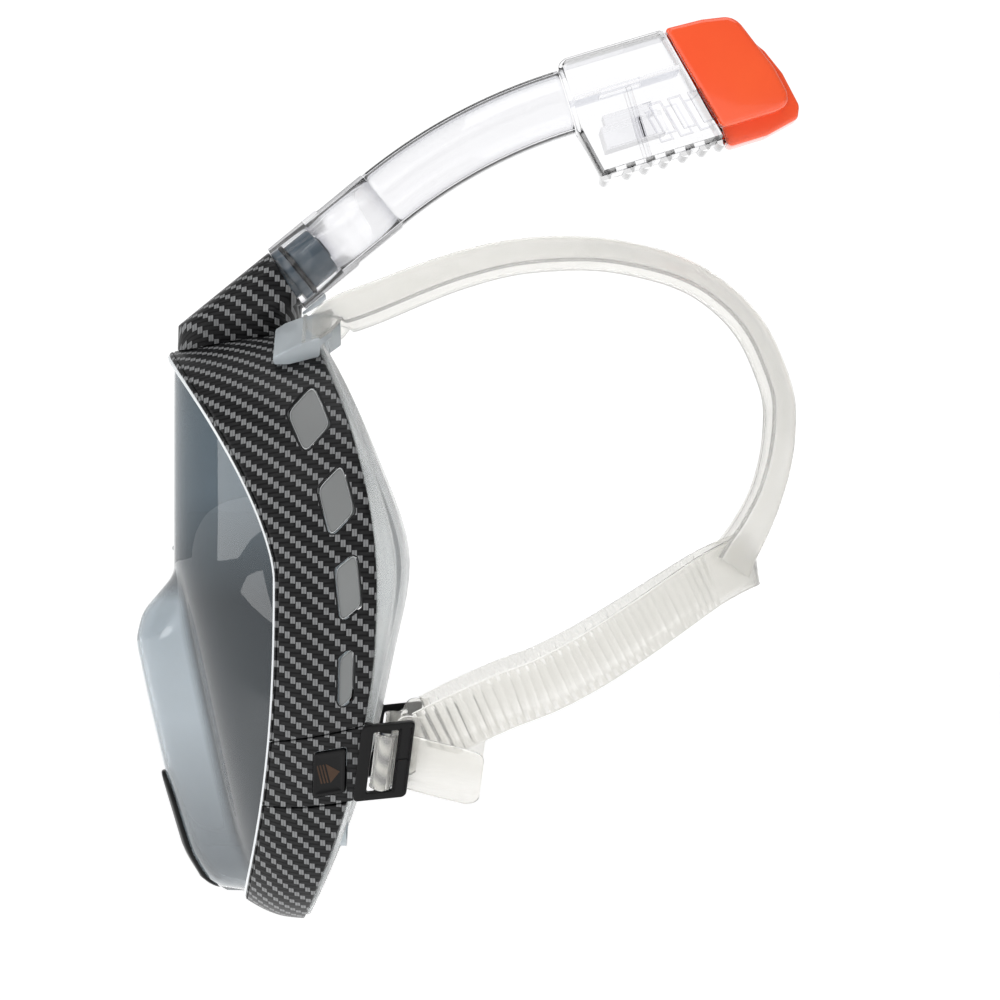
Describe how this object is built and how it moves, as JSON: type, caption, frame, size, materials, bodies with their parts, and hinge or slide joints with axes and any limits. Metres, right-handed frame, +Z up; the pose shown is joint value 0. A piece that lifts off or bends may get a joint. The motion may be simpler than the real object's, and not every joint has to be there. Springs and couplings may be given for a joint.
{
  "type": "full face snorkel",
  "caption": "Full face snorkel mask with carbon-look frame, smoked visor with purge valve, silicone seal and head strap, and a detachable clear snorkel with float valve and orange cap",
  "frame": {"origin": "middle of the face seal's plane, where the wearer's face rests", "axes": "+Z up, -Y forward out of the visor, +X the wearer's left"},
  "size_m": [0.1872, 0.2778, 0.3763],
  "materials": {
    "carbon_print": "moulded plastic with a black and grey twill print under clear lacquer",
    "smoked_lens": "smoked clear polycarbonate, polished",
    "grey_insert": "frosted translucent grey",
    "black_plastic": "fine moulded satin black",
    "milky_silicone": "translucent milky silicone, satin",
    "clip_plastic": "translucent blue-grey",
    "slate_plastic": "slate blue-grey, satin",
    "black_rubber": "black rubber",
    "orange_plastic": "glossy signal orange",
    "steel_pin": "plain steel",
    "white_insert": "natural white",
    "clear_plastic": "clear polycarbonate, polished"
  },
  "bodies": {
    "mask": {"visor": "smoked_lens", "frame_upper": "carbon_print", "frame_chin": "carbon_print", "side_clip_left": "carbon_print", "side_clip_right": "carbon_print", "window_inserts_left": "grey_insert", "window_inserts_right": "grey_insert", "rear_frame": "black_plastic", "skirt": "milky_silicone", "nose_pocket": "milky_silicone", "inhale_seat_left": "white_insert", "inhale_seat_right": "white_insert", "chin_valve_seat": "black_plastic", "chin_valve_cover": "black_plastic", "elbow": "carbon_print", "spigot": "slate_plastic", "spigot_o_ring": "black_rubber", "tube_latch": "clear_plastic", "strap_clip_left": "clip_plastic", "strap_clip_right": "clip_plastic", "strap_nape": "milky_silicone", "strap_crown_left": "milky_silicone", "strap_crown_right": "milky_silicone", "strap_end_left": "milky_silicone", "strap_end_right": "milky_silicone"},
    "snorkel": {"tube_socket": "clear_plastic", "snorkel_tube": "clear_plastic", "dry_top_housing": "clear_plastic", "dry_top_cap": "orange_plastic", "float_pins": "white_insert"},
    "float": {"dry_float": "white_insert", "float_seal": "white_insert"},
    "purge_disc": {"chin_valve_disc": "white_insert"},
    "button_left": {"release_button_left": "black_plastic"},
    "buckle_frame_left": {"buckle_left": "black_plastic", "buckle_pin_left": "steel_pin", "roller_pin_left": "steel_pin"},
    "strap_roller_left": {"roller_left": "clear_plastic"},
    "inhale_left": {"inhale_disc_left": "white_insert"},
    "button_right": {"release_button_right": "black_plastic"},
    "buckle_frame_right": {"buckle_right": "black_plastic", "buckle_pin_right": "steel_pin", "roller_pin_right": "steel_pin"},
    "strap_roller_right": {"roller_right": "clear_plastic"},
    "inhale_right": {"inhale_disc_right": "white_insert"}
  },
  "joints": [
    {"name": "tube_slide", "type": "slide", "parent": "mask", "child": "snorkel", "axis": [0, 0.7727, 0.6347], "range_m": [0, 0.022]},
    {"name": "float_slide", "type": "slide", "parent": "snorkel", "child": "float", "axis": [0, -0.2924, 0.9563], "range_m": [0, 0.008]},
    {"name": "purge_slide", "type": "slide", "parent": "mask", "child": "purge_disc", "axis": [0, -0.8988, -0.4384], "range_m": [0, 0.001], "stiffness_N_per_m": 20},
    {"name": "button_press_left", "type": "slide", "parent": "mask", "child": "button_left", "axis": [-0.9384, 0.1952, 0.285], "range_m": [0, 0.0018], "stiffness_N_per_m": 200},
    {"name": "buckle_swing_left", "type": "hinge", "parent": "mask", "child": "buckle_frame_left", "pos_m": [0.08533, -0.00397, -0.05735], "axis": [-0.2756, -0.1255, -0.953], "range_deg": [0, 18], "deforming": ["strap_end_left"]},
    {"name": "roller_spin_left", "type": "hinge", "parent": "buckle_frame_left", "child": "strap_roller_left", "pos_m": [0.0862, 0.00324, -0.05855], "axis": [0.2756, 0.1255, 0.953], "continuous": true},
    {"name": "inhale_slide_left", "type": "slide", "parent": "mask", "child": "inhale_left", "axis": [-1, 0, 0], "range_m": [0, 0.0012], "stiffness_N_per_m": 20},
    {"name": "button_press_right", "type": "slide", "parent": "mask", "child": "button_right", "axis": [0.9384, 0.1952, 0.285], "range_m": [0, 0.0018], "stiffness_N_per_m": 200},
    {"name": "buckle_swing_right", "type": "hinge", "parent": "mask", "child": "buckle_frame_right", "pos_m": [-0.08533, -0.00397, -0.05735], "axis": [-0.2756, 0.1255, 0.953], "range_deg": [0, 18], "deforming": ["strap_end_right"]},
    {"name": "roller_spin_right", "type": "hinge", "parent": "buckle_frame_right", "child": "strap_roller_right", "pos_m": [-0.0862, 0.00324, -0.05855], "axis": [-0.2756, 0.1255, 0.953], "continuous": true},
    {"name": "inhale_slide_right", "type": "slide", "parent": "mask", "child": "inhale_right", "axis": [1, 0, 0], "range_m": [0, 0.0012], "stiffness_N_per_m": 20}
  ]
}
